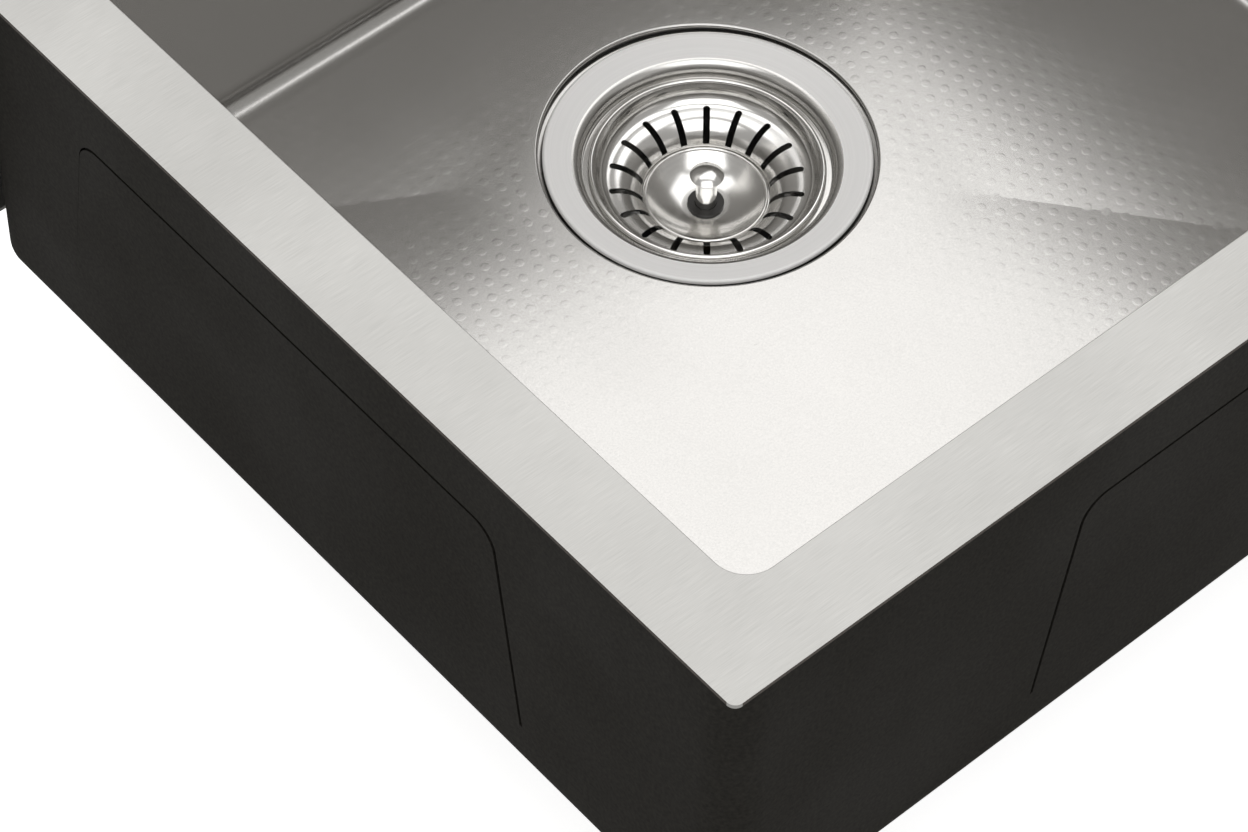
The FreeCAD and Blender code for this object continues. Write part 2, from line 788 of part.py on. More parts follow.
def make_hex_nut(label, flats, height, bore, top):
    """A hexagon nut about the strainer's axis, with its upper face at a depth."""
    body = new_body(label)
    sketch = new_sketch(body, label + "_hexagon", offset=-top)
    corner = flats / Size(3, "3").root()
    outline(
        sketch,
        (corner / 2, -flats / 2),
        (corner, 0),
        (corner / 2, flats / 2),
        (-corner / 2, flats / 2),
        (-corner, 0),
        (-corner / 2, -flats / 2),
    )
    circle_at(sketch, 0, 0, bore)
    pad(body, sketch, height, reverse=True)
    place_at_drain(body)
    return body


def make_stopper_post():
    """The pull post: a domed knob on a shaft, with a groove for the clip and a stud for the plate."""
    knob_top = dish_floor_depth - knob_lift
    knob_edge = knob_top + knob_height / 2
    neck = knob_edge + knob_underside
    groove_top = clip_top_depth
    groove_end = clip_top_depth + clip_height
    stud_end_depth = stopper_foot_depth + post_nut_height + stud_end
    dome = (knob_radius * knob_radius + knob_height * knob_height / 4) / knob_height
    turned_piece(
        "stopper_post",
        (0, -stud_end_depth),
        (stud_radius, -stud_end_depth),
        (stud_radius, -plate_top_depth),
        (post_radius, -plate_top_depth),
        (post_radius, -groove_end),
        (post_radius - clip_depth, -groove_end),
        (post_radius - clip_depth, -groove_top),
        (post_radius, -groove_top),
        (post_radius, -neck),
        (knob_radius, -knob_edge, knob_underside * 1.6, -1),
        (0, -knob_top, dome, 1),
    )


def make_stopper_parts():
    """What the post carries: a clip under the bush, a plate, the rubber stopper and its nut."""
    groove = post_radius - clip_depth + thread_clearance / 2
    bore = stud_radius + thread_clearance
    ring_piece("post_clip", groove, clip_radius, clip_top_depth, clip_top_depth + clip_height)
    ring_piece("stopper_plate", bore, plate_radius, plate_top_depth, stopper_top_depth)
    turned_piece(
        "rubber_stopper",
        (bore, -stopper_top_depth),
        (bore, -stopper_foot_depth),
        (stopper_foot, -stopper_foot_depth),
        (stopper_radius, -stopper_cone_depth),
        (stopper_radius, -stopper_top_depth),
    )
    make_hex_nut("post_nut", post_nut_flats, post_nut_height, bore, stopper_foot_depth)


def make_sink():
    make_rim_plate()
    make_sink_bowl()
    make_apron_panel()
    make_undercoat()
    make_sound_pads()
    make_apron_pad()
    make_strainer_body()
    make_clamp_rings()
    make_basket_cup()
    make_basket_dish()
    make_guide_bush()
    bush_bore = bush_radius + thread_clearance
    make_hex_nut("bush_nut", bush_nut_flats, bush_nut_height, bush_bore, dish_floor_depth + dish_sheet)
    make_stopper_post()
    make_stopper_parts()
    doc.recompute()


def check_document():
    """Stop if any object of the document failed to build."""
    for item in doc.Objects:
        if "Invalid" in item.State or "Error" in item.State:
            raise RuntimeError(f"{item.Name} is {item.State}")


def write_parts():
    """Check each sub-part's solid and write it to its own file."""
    os.makedirs("parts", exist_ok=True)
    bodies = [item for item in doc.Objects if item.TypeId == "PartDesign::Body"]
    for body in bodies:
        shape = body.Shape
        if shape.isNull() or not shape.isValid():
            raise RuntimeError(body.Label + " has no valid shape")
        print(f"{body.Label}: {len(shape.Solids)} solid, {shape.Volume / 1000:.2f} cm3")
    for body in bodies:
        body.Shape.exportStep(f"parts/{body.Label}.step")


make_sink()
check_document()
write_parts()
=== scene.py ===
"""Looks for an apron-front kitchen sink: finishes, finer meshes, a studio and the photograph's camera.

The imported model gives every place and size. Lengths are in metres, +Z is up and -Y is the apron's side.
"""

import json
import logging
import math
from contextlib import contextmanager
from dataclasses import dataclass, field
from enum import Enum
from typing import Callable, Iterator, Sequence

import bpy
from mathutils import Euler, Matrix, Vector

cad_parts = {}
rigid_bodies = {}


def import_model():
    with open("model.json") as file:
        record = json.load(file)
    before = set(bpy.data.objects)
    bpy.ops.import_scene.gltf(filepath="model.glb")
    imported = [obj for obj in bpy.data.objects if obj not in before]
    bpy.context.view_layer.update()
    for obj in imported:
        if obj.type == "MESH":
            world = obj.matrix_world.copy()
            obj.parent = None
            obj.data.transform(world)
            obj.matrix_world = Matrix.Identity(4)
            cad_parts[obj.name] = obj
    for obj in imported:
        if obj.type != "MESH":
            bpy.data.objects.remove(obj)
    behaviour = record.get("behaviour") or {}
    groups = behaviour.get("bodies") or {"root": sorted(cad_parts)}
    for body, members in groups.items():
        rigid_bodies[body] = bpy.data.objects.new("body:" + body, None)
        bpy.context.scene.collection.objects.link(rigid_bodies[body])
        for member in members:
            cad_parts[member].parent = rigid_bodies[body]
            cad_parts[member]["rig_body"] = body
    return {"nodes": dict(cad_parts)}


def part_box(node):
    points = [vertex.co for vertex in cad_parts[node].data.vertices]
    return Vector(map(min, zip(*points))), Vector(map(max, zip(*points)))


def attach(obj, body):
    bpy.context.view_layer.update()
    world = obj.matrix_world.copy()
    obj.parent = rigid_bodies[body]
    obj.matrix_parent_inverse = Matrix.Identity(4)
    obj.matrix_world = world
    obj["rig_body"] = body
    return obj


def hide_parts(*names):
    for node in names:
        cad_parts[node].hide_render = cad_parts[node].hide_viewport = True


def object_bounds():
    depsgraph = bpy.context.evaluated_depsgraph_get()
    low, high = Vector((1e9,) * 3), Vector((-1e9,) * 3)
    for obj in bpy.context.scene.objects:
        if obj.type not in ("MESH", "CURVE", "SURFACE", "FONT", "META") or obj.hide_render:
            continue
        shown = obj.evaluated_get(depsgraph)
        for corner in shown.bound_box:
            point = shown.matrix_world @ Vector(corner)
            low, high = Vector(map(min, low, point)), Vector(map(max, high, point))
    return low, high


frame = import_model()
CAD_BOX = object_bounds()

log = logging.getLogger("sink")
MM = 0.001
TOUCH = 0.01 * MM  # places closer than this are taken as level
MERGE = 0.002 * MM  # corners closer than this become one
FLAT_ANGLE = math.radians(0.3)  # faces bent less than this are one flat
Piece = bpy.types.Object
Test = Callable[[Sequence[Vector]], bool]  # a question about the corners of a vertex, edge or face


class Pattern(Enum):
    """The kinds of fine surface. Turned marks go round the drain; the rest differ in scale and relief."""

    STRAIGHT = "straight brushing"
    TURNED = "turning marks round the drain's axis"
    SATIN = "even satin"
    SPRAYED = "sprayed grain"
    MOULDED = "moulded skin"


@dataclass(frozen=True)
class Finish:
    """One surface finish.

    Attributes:
        name: The material's name.
        slot: The record's material slot; not used.
        colour: Linear base colour.
        pattern: The kind of fine surface.
        roughness: Mean roughness.
        metallic: 1 for bare metal, 0 for coats, rubber and fibre.
        variation: How far the colour swings about its mean, as a share of it.
        depth: Strength of the fine relief.
        scale: Features per metre across the grain.
        stretch: How many times longer a feature is along X than across it.
        specular: How much a coat mirrors, 0.5 for a smooth one.
    """

    name: str
    slot: str
    colour: tuple[float, float, float]
    pattern: Pattern
    roughness: float
    metallic: float = 1.0
    variation: float = 0.08
    depth: float = 0.1
    scale: float = 900.0
    stretch: float = 1.0
    specular: float = 0.5


BRUSHED = Finish(
    "brushed_stainless", "brushed_stainless", (0.455, 0.45, 0.435), Pattern.STRAIGHT, 0.42,
    variation=0.08, depth=0.1, scale=4200, stretch=45,
)
SATIN = Finish(
    "satin_stainless", "satin_stainless", (0.55, 0.54, 0.525), Pattern.SATIN, 0.25,
    variation=0.05, depth=0.05, scale=1400,
)
POLISHED = Finish(
    "polished_stainless", "polished_stainless", (0.68, 0.67, 0.65), Pattern.TURNED, 0.24,
    variation=0.04, depth=0.03, scale=1200,
)
# Polished flange as a near-white, barely metallic colour: painted sheen standing in for its bright
# reflection.
FLANGE_PAINTED_SHEEN = Finish(
    "flange_painted_sheen", "polished_stainless", (0.96, 0.95, 0.94), Pattern.TURNED, 0.55, metallic=0.15,
    variation=0.03, depth=0.03, scale=1200,
)
MIRROR = Finish(
    "mirror_stainless", "polished_stainless", (0.76, 0.75, 0.73), Pattern.TURNED, 0.17,
    variation=0.02, depth=0.01, scale=900,
)
COAT = Finish(
    "sprayed_coat", "sprayed_coat", (0.02, 0.0183, 0.0152), Pattern.SPRAYED, 0.72, metallic=0.0,
    variation=0.35, depth=0.35, scale=700, specular=0.15,
)
PAD = Finish(
    "sound_pad_rubber", "sound_pad_rubber", (0.0195, 0.0178, 0.0148), Pattern.SPRAYED, 0.72, metallic=0.0,
    variation=0.35, depth=0.35, scale=700, specular=0.15,
)
# Dark brown colour on the rim's outer edge faces.
DARK_RIM_EDGE = Finish(
    "rim_edge_dark", "brushed_stainless", (0.08, 0.066, 0.056), Pattern.SPRAYED, 0.7, metallic=0.0,
    variation=0.3, depth=0.3, scale=700,
)
RUBBER = Finish(
    "black_rubber", "black_rubber", (0.02, 0.02, 0.02), Pattern.MOULDED, 0.55, metallic=0.0,
    variation=0.15, depth=0.1, scale=500,
)
FIBRE = Finish(
    "pressed_fibre", "fibre_ring", (0.24, 0.13, 0.07), Pattern.MOULDED, 0.85, metallic=0.0,
    variation=0.35, depth=0.3, scale=900,
)
ZINC = Finish(
    "cast_zinc", "cast_zinc", (0.42, 0.42, 0.41), Pattern.SPRAYED, 0.5,
    variation=0.12, depth=0.25, scale=500,
)
BRASS = Finish(
    "turned_brass", "brass_fittings", (0.62, 0.45, 0.2), Pattern.TURNED, 0.28,
    variation=0.06, depth=0.05, scale=1100,
)
DARK_ACETAL = Finish(
    "dark_acetal", "dark_acetal", (0.03, 0.028, 0.026), Pattern.MOULDED, 0.4, metallic=0.0,
    variation=0.1, depth=0.05, scale=500,
)
SPRING = Finish(
    "spring_steel", "spring_clip", (0.45, 0.45, 0.45), Pattern.SATIN, 0.3,
    variation=0.05, depth=0.04, scale=900,
)


class ShaderGroups:
    """The node groups that the finishes share: fine streaks with their relief, and slow patches."""

    STREAK_DETAIL = 2.5
    STREAK_ROUGHNESS = 0.6
    STREAK_RANGE = (0.3, 0.7)
    RELIEF = 0.05 * MM
    PATCH_DETAIL = 3.0
    PATCH_RANGE = (0.35, 0.65)

    def __init__(self) -> None:
        """Build every group once."""
        self.straight = self._grain("straight_brushing", turned=False)
        self.turned = self._grain("turning_marks", turned=True)
        self.cloud = self._cloud()

    @staticmethod
    def _sockets(group: bpy.types.NodeTree, direction: str, **wanted: str) -> None:
        """Give a group named INPUT or OUTPUT sockets, each a Float or a Vector."""
        for name, kind in wanted.items():
            group.interface.new_socket(name, in_out=direction, socket_type="NodeSocket" + kind)

    def _grain(self, name: str, turned: bool) -> bpy.types.NodeTree:
        """Make a group of fine streaks, along X or round the drain's axis.

        Args:
            name: The group's name.
            turned: True for streaks round the axis through the Object coordinates' own Z.

        Returns:
            The node group, with Streak and Normal outputs.
        """
        group = bpy.data.node_groups.new(name, "ShaderNodeTree")
        self._sockets(group, "INPUT", Scale="Float", Stretch="Float", Depth="Float", Centre="Vector")
        self._sockets(group, "OUTPUT", Streak="Float", Normal="Vector")
        nodes, links = group.nodes, group.links
        given = nodes.new("NodeGroupInput")
        place = nodes.new("ShaderNodeTexCoord")
        centred = nodes.new("ShaderNodeVectorMath")
        centred.operation = "SUBTRACT"
        links.new(place.outputs["Object"], centred.inputs[0])
        links.new(given.outputs["Centre"], centred.inputs[1])
        split = nodes.new("ShaderNodeSeparateXYZ")
        links.new(centred.outputs[0], split.inputs[0])
        joined = nodes.new("ShaderNodeCombineXYZ")
        if turned:
            flat = nodes.new("ShaderNodeCombineXYZ")
            for axis in "XY":
                links.new(split.outputs[axis], flat.inputs[axis])
            radius = nodes.new("ShaderNodeVectorMath")
            radius.operation = "LENGTH"
            links.new(flat.outputs[0], radius.inputs[0])
            links.new(radius.outputs["Value"], joined.inputs["X"])
        else:
            slow = nodes.new("ShaderNodeMath")
            slow.operation = "DIVIDE"
            links.new(split.outputs["X"], slow.inputs[0])
            links.new(given.outputs["Stretch"], slow.inputs[1])
            links.new(slow.outputs[0], joined.inputs["X"])
            links.new(split.outputs["Y"], joined.inputs["Y"])
        links.new(split.outputs["Z"], joined.inputs["Z"])
        noise = nodes.new("ShaderNodeTexNoise")
        noise.inputs["Detail"].default_value = self.STREAK_DETAIL
        noise.inputs["Roughness"].default_value = self.STREAK_ROUGHNESS
        links.new(joined.outputs[0], noise.inputs["Vector"])
        links.new(given.outputs["Scale"], noise.inputs["Scale"])
        spread = nodes.new("ShaderNodeMapRange")
        spread.inputs["From Min"].default_value, spread.inputs["From Max"].default_value = self.STREAK_RANGE
        links.new(noise.outputs["Fac"], spread.inputs["Value"])
        bump = nodes.new("ShaderNodeBump")
        bump.inputs["Distance"].default_value = self.RELIEF
        links.new(given.outputs["Depth"], bump.inputs["Strength"])
        links.new(noise.outputs["Fac"], bump.inputs["Height"])
        out = nodes.new("NodeGroupOutput")
        links.new(spread.outputs["Result"], out.inputs["Streak"])
        links.new(bump.outputs["Normal"], out.inputs["Normal"])
        return group

    def _cloud(self) -> bpy.types.NodeTree:
        """Make a group of slow, soft patches, such as handling leaves on a surface.

        Returns:
            The node group, with a Patch output from 0 to 1.
        """
        group = bpy.data.node_groups.new("soft_patches", "ShaderNodeTree")
        self._sockets(group, "INPUT", Scale="Float")
        self._sockets(group, "OUTPUT", Patch="Float")
        nodes, links = group.nodes, group.links
        given = nodes.new("NodeGroupInput")
        place = nodes.new("ShaderNodeTexCoord")
        noise = nodes.new("ShaderNodeTexNoise")
        noise.inputs["Detail"].default_value = self.PATCH_DETAIL
        links.new(place.outputs["Object"], noise.inputs["Vector"])
        links.new(given.outputs["Scale"], noise.inputs["Scale"])
        spread = nodes.new("ShaderNodeMapRange")
        spread.inputs["From Min"].default_value, spread.inputs["From Max"].default_value = self.PATCH_RANGE
        links.new(noise.outputs["Fac"], spread.inputs["Value"])
        out = nodes.new("NodeGroupOutput")
        links.new(spread.outputs["Result"], out.inputs["Patch"])
        return group


class Paintshop:
    """Makes each finish's material once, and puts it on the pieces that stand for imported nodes."""

    PATCH_SCALE = 14.0
    ROUGHNESS_SWING = 0.08

    def __init__(self, drain: Vector) -> None:
        """Build the shared groups.

        Args:
            drain: A point on the drain's axis, which turning marks go round.
        """
        self.groups = ShaderGroups()
        self.drain = drain
        self.made: dict[str, bpy.types.Material] = {}

    def material(self, finish: Finish) -> bpy.types.Material:
        """Give a finish's material, making it the first time.

        Args:
            finish: The finish.

        Returns:
            The material.
        """
        if finish.name not in self.made:
            self.made[finish.name] = self._make(finish)
        return self.made[finish.name]

    def _make(self, finish: Finish) -> bpy.types.Material:
        """Build a material: streaks or grain, soft patches and a Principled shader.

        Args:
            finish: The finish.

        Returns:
            The new material.
        """
        material = bpy.data.materials.new(finish.name)
        material.use_nodes = True
        nodes, links = material.node_tree.nodes, material.node_tree.links
        shader = nodes["Principled BSDF"]
        shader.inputs["Metallic"].default_value = finish.metallic
        shader.inputs["Specular IOR Level"].default_value = finish.specular
        grain = nodes.new("ShaderNodeGroup")
        grain.node_tree = self.groups.turned if finish.pattern is Pattern.TURNED else self.groups.straight
        grain.inputs["Scale"].default_value = finish.scale
        grain.inputs["Stretch"].default_value = finish.stretch
        grain.inputs["Depth"].default_value = finish.depth
        if finish.pattern is Pattern.TURNED:
            grain.inputs["Centre"].default_value = self.drain
        patches = nodes.new("ShaderNodeGroup")
        patches.node_tree = self.groups.cloud
        patches.inputs["Scale"].default_value = self.PATCH_SCALE
        shade = nodes.new("ShaderNodeMix")
        shade.data_type = "RGBA"
        for socket, share in (("A", 1 - finish.variation), ("B", 1 + finish.variation)):
            shade.inputs[socket].default_value = (*[part * share for part in finish.colour], 1)
        links.new(grain.outputs["Streak"], shade.inputs["Factor"])
        links.new(shade.outputs["Result"], shader.inputs["Base Color"])
        rough = nodes.new("ShaderNodeMapRange")
        rough.inputs["To Min"].default_value = finish.roughness * (1 - self.ROUGHNESS_SWING)
        rough.inputs["To Max"].default_value = finish.roughness * (1 + self.ROUGHNESS_SWING)
        links.new(patches.outputs["Patch"], rough.inputs["Value"])
        links.new(rough.outputs["Result"], shader.inputs["Roughness"])
        links.new(grain.outputs["Normal"], shader.inputs["Normal"])
        return material

    def dress(self, piece: Piece, finish: Finish) -> None:
        """Give a piece one finish.

        Args:
            piece: The piece.
            finish: Its finish.
        """
        piece.data.materials.clear()
        piece.data.materials.append(self.material(finish))

    def stand_in(self, piece: Piece, node: str, finish: Finish) -> None:
        """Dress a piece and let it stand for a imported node, on that node's body.

        Args:
            piece: The new piece.
            node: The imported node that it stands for.
            finish: Its finish.
        """
        self.dress(piece, finish)
        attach(piece, frame["nodes"][node]["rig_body"])
        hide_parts(node)
        log.info("%s stands for %s: %d faces", piece.name, node, len(piece.data.polygons))

    def carry(self, node: str, finish: Finish) -> Piece:
        """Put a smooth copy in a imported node's place.

        Args:
            node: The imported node.
            finish: Its finish.

        Returns:
            The copy.
        """
        piece = Bench.copy_of(node, node + "_finished")
        self.stand_in(piece, node, finish)
        return piece

    def patch(self, piece: Piece, finish: Finish, wanted: Test) -> None:
        """Give the faces that a test picks out a second finish.

        Args:
            piece: The piece, which has its main finish already.
            finish: The second finish.
            wanted: The test on a face's corners.
        """
        piece.data.materials.append(self.material(finish))
        Bench.pick(piece, "FACE", wanted)
        with Bench.editing(piece):
            piece.active_material_index = len(piece.data.materials) - 1
            bpy.ops.object.material_slot_assign()


class Bench:
    """Modelling moves that several pieces share, made with Blender's own operators."""

    @staticmethod
    def only(piece: Piece) -> None:
        """Select one piece alone and make it active."""
        for other in bpy.context.selected_objects:
            other.select_set(False)
        piece.select_set(True)
        bpy.context.view_layer.objects.active = piece

    @staticmethod
    @contextmanager
    def editing(piece: Piece) -> Iterator[None]:
        """Enter edit mode on a piece and leave it afterwards."""
        Bench.only(piece)
        bpy.ops.object.mode_set(mode="EDIT")
        yield
        bpy.ops.object.mode_set(mode="OBJECT")

    @staticmethod
    def pick(piece: Piece, kind: str, wanted: Test) -> int:
        """Select the vertices, edges or faces whose corners pass a test, and nothing else.

        Args:
            piece: The piece, in object mode.
            kind: VERT, EDGE or FACE.
            wanted: The test, given the corners' places.

        Returns:
            How many were selected.
        """
        Bench.only(piece)
        bpy.ops.object.mode_set(mode="EDIT")
        bpy.ops.mesh.select_mode(type=kind)
        bpy.ops.mesh.select_all(action="DESELECT")
        bpy.ops.object.mode_set(mode="OBJECT")
        mesh = piece.data
        corners = mesh.vertices
        group = {"VERT": mesh.vertices, "EDGE": mesh.edges, "FACE": mesh.polygons}[kind]
        count = 0
        for item in group:
            ids = [item.index] if kind == "VERT" else list(item.vertices)
            item.select = wanted([corners[i].co for i in ids])
            count += item.select
        return count

    @staticmethod
    def merge(recalc: bool) -> None:
        """Merge doubles in edit mode, and point the faces outwards where recalc is true."""
        bpy.ops.mesh.select_all(action="SELECT")
        bpy.ops.mesh.remove_doubles(threshold=MERGE)
        if recalc:
            bpy.ops.mesh.normals_make_consistent(inside=False)

    @staticmethod
    def settled(name: str) -> Piece:
        """Name the primitive just added, put its place in its mesh and return it."""
        piece = bpy.context.object
        piece.name = piece.data.name = name
        bpy.ops.object.transform_apply(location=True, rotation=True, scale=True)
        return piece

    @staticmethod
    def block(name: str, low: Vector, high: Vector) -> Piece:
        """Add a cube that fills the box between two corners, and return it."""
        bpy.ops.mesh.primitive_cube_add(size=1, location=(low + high) / 2, scale=high - low)
        return Bench.settled(name)

    @staticmethod
    def bevel(piece: Piece, wanted: Test, radius: float, steps: int) -> None:
        """Round the edges that a test picks out.

        Args:
            piece: The piece.
            wanted: The test on an edge's two corners.
            radius: The rounding's radius.
            steps: Facets across the rounding.
        """
        Bench.pick(piece, "EDGE", wanted)
        with Bench.editing(piece):
            bpy.ops.mesh.bevel(offset=radius, segments=steps, profile=0.5)

    @staticmethod
    def apply(piece: Piece, kind: str, **settings: object) -> None:
        """Add a modifier with its settings and apply it.

        Args:
            piece: The piece.
            kind: The modifier's type.
            **settings: Its properties.
        """
        Bench.only(piece)
        modifier = piece.modifiers.new(kind.lower(), kind)
        for key, value in settings.items():
            setattr(modifier, key, value)
        bpy.ops.object.modifier_apply(modifier=modifier.name)

    @staticmethod
    def cut(piece: Piece, tool: Piece) -> None:
        """Cut a piece with a tool, and throw the tool away."""
        Bench.apply(piece, "BOOLEAN", operation="DIFFERENCE", object=tool, solver="EXACT")
        bpy.data.objects.remove(tool, do_unlink=True)

    @staticmethod
    def tidy(piece: Piece, angle: float = 32.0, recalc: bool = True) -> None:
        """Merge doubles, point faces outwards, smooth the round stretches and keep flats flat.

        Args:
            piece: The piece.
            angle: Edges sharper than this many degrees stay sharp.
            recalc: False where the normals are right already.
        """
        with Bench.editing(piece):
            Bench.merge(recalc)
        bpy.ops.object.shade_smooth_by_angle(angle=math.radians(angle))
        Bench.apply(piece, "WEIGHTED_NORMAL", keep_sharp=True, weight=60)

    @staticmethod
    def copy_of(node: str, name: str) -> Piece:
        """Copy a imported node's mesh, join its loose triangles and clear the lines between flat ones.

        Args:
            node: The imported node.
            name: The new piece's name.

        Returns:
            The new piece.
        """
        piece = bpy.data.objects.new(name, frame["nodes"][node].data.copy())
        bpy.context.scene.collection.objects.link(piece)
        piece.data.name = name
        with Bench.editing(piece):
            Bench.merge(recalc=False)
            bpy.ops.mesh.dissolve_limited(angle_limit=FLAT_ANGLE)
        Bench.tidy(piece, recalc=False)
        return piece

    @staticmethod
    def turned(
        name: str, centre: Vector, steps: int, outline: Sequence[tuple[float, float]]
    ) -> Piece:
        """Trace half a section by extruding a corner along it, and spin it round an upright axis.

        Args:
            name: The piece's name.
            centre: The axis, with the section's zero height.
            steps: Facets round the axis.
            outline: Closed section as (radius, height) from the axis and the centre's height.

        Returns:
            The new piece.
        """
        corners = [Vector((centre.x + radius, centre.y, centre.z + height)) for radius, height in outline]
        bpy.ops.mesh.primitive_plane_add(size=MM, location=corners[0])
        piece = Bench.settled(name)
        with Bench.editing(piece):
            bpy.ops.mesh.select_mode(type="VERT")
            bpy.ops.mesh.select_all(action="SELECT")
            bpy.ops.mesh.merge(type="CENTER")
            for start, end in zip(corners, corners[1:] + corners[:1]):
                bpy.ops.mesh.extrude_region_move(TRANSFORM_OT_translate={"value": end - start})
            Bench.merge(recalc=False)
            bpy.ops.mesh.spin(steps=steps, angle=math.tau, center=centre, axis=(0, 0, 1))
            Bench.merge(recalc=True)
        return piece


class Section:
    """Half a section of a turned piece, drawn as straight runs and arcs in millimetres."""

    def __init__(self, radius: float, height: float) -> None:
        """Start the section at a point."""
        self.points: list[tuple[float, float]] = [(radius * MM, height * MM)]

    def line(self, radius: float, height: float) -> "Section":
        """Go straight to a point, and return the section so that calls chain."""
        self.points.append((radius * MM, height * MM))
        return self

    def arc(self, radius: float, height: float, bend: float, steps: int) -> "Section":
        """Go to a point along an arc.

        Args:
            radius: Distance from the axis at the arc's end.
            height: Height at the arc's end.
            bend: The arc's own radius, positive where it turns left and negative where it turns right.
            steps: Facets along the arc.

        Returns:
            The section, so that calls chain.
        """
        start, end = Vector(self.points[-1]), Vector((radius, height)) * MM
        half = (end - start) / 2
        rise = math.sqrt(max((bend * MM) ** 2 - half.length_squared, 0.0))
        side = Vector((-half.y, half.x)).normalized() * math.copysign(1, bend)
        centre = start + half + side * rise
        first, last = start - centre, end - centre
        sweep = -first.angle_signed(last)
        for step in range(1, steps + 1):
            angle = sweep * step / steps
            turned = Vector((
                first.x * math.cos(angle) - first.y * math.sin(angle),
                first.x * math.sin(angle) + first.y * math.cos(angle),
            ))
            self.points.append(tuple(centre + turned))
        return self


@dataclass
class TurnedWork:
    """What the strainer, basket and stopper share: an axis, and pieces turned round it.

    Their lengths are in millimetres, and heights are above the top of the flange.
    """

    paint: Paintshop
    centre: Vector
    steps: int = 128

    def turn(self, name: str, section: Section) -> Piece:
        """Give a piece that is turned round the drain's axis from its section."""
        return Bench.turned(name, self.centre, self.steps, section.points)


@dataclass
class Strainer(TurnedWork):
    """The waste strainer's body and the rings that clamp it to the bowl."""

    flange_radius: float = 57.0
    flange_thickness: float = 1.5
    flange_fall: float = 2.6
    edge_width: float = 0.9
    edge_rounding: float = 1.1
    rounding_inset: float = 1.42
    rounding_top: float = -0.16
    rounding_foot: float = -1.21
    under_edge: tuple[float, float] = (0.2, 0.15)
    shoulder_outer: float = 47.6
    shoulder_radius: float = 4.3
    ledge: float = -8.7
    ledge_fillet: float = 0.4
    cup_radius: float = 39.8
    cup_wall: float = 2.6
    cup_corner: float = 6.0
    cup_floor: float = -46.66
    seat_radius: float = 23.0
    seat_top: float = -48.06
    outlet_radius: float = 17.8
    outlet_top: float = -51.18
    outlet_end: float = -73.18
    thread_crest: float = 23.9
    thread_root: float = 23.2
    thread_pitch: float = 2.2
    thread_turns: int = 8
    thread_run_out: float = 0.6
    thread_flank: float = 0.7
    thread_land: float = 0.3
    neck_radius: float = 44.3
    neck_end: float = -24.0
    finish_overlap: tuple[float, float] = (0.7, 0.2)

    def build(self) -> None:
        """Model the body and dress the rings round it."""
        self._body()
        for node, finish in (
            ("flange_gasket", RUBBER), ("rubber_washer", RUBBER),
            ("friction_ring", FIBRE), ("lock_nut", ZINC),
        ):
            self.paint.carry(node, finish)

    def _body(self) -> None:
        """Turn the strainer's body, and give its flange a near-white finish of its own, its sheen painted
        into the colour.
        """
        floor_edge = self.cup_radius - self.cup_corner
        outside = self.cup_radius + self.cup_wall
        throat = self.shoulder_outer - self.shoulder_radius
        fillet = self.ledge_fillet
        slope = self.flange_fall / (self.flange_radius - self.edge_width - self.shoulder_outer)
        under = -self.flange_thickness - (self.flange_radius - self.neck_radius) * slope
        edge_in, edge_up = self.under_edge
        thread_top = self.outlet_top - self.cup_wall
        section = (
            Section(self.shoulder_outer, -self.flange_fall)
            .arc(throat, -self.flange_fall - self.shoulder_radius, self.shoulder_radius, 10)
            .line(throat, self.ledge + fillet)
            .arc(throat - fillet, self.ledge, -fillet, 3)
            .line(self.cup_radius + fillet, self.ledge)
            .arc(self.cup_radius, self.ledge - fillet, fillet, 3)
            .line(self.cup_radius, self.cup_floor + self.cup_corner)
            .arc(floor_edge, self.cup_floor, -self.cup_corner, 8)
            .line(self.seat_radius, self.seat_top)
            .line(self.outlet_radius, self.outlet_top)
            .line(self.outlet_radius, self.outlet_end)
            .line(self.thread_root, self.outlet_end)
        )
        for turn in range(self.thread_turns):
            low = self.outlet_end + self.thread_run_out + turn * self.thread_pitch
            crest = low + self.thread_flank
            section.line(self.thread_root, low).line(self.thread_crest, crest)
            crest += self.thread_land
            section.line(self.thread_crest, crest).line(self.thread_root, crest + self.thread_flank)
        section = (
            section.line(self.thread_crest, thread_top - self.thread_run_out)
            .line(self.thread_crest, thread_top)
            .line(floor_edge, self.cup_floor - self.cup_wall)
            .arc(outside, self.cup_floor + self.cup_corner, self.cup_corner + self.cup_wall, 8)
            .line(outside, self.neck_end - self.cup_wall)
            .line(self.neck_radius, self.neck_end)
            .line(self.neck_radius, under)
            .line(self.flange_radius - edge_in, -self.flange_thickness - edge_in * slope)
            .line(self.flange_radius, -self.flange_thickness + edge_up)
            .line(self.flange_radius, self.rounding_foot)
            .arc(self.flange_radius - self.rounding_inset, self.rounding_top, self.edge_rounding, 6)
        )
        piece = self.turn("strainer_shell", section)
        Bench.tidy(piece, 25)
        self.paint.stand_in(piece, "strainer_body", POLISHED)
        inwards, down = self.finish_overlap
        inner = (self.shoulder_outer - inwards) * MM
        low = self.centre.z - (self.flange_fall + down) * MM
        # The flange's top takes the near-white finish, whose colour paints in the flange's sheen.
        self.paint.patch(
            piece, FLANGE_PAINTED_SHEEN,
            lambda spots: all((spot.xy - self.centre.xy).length > inner and spot.z > low for spot in spots),
        )


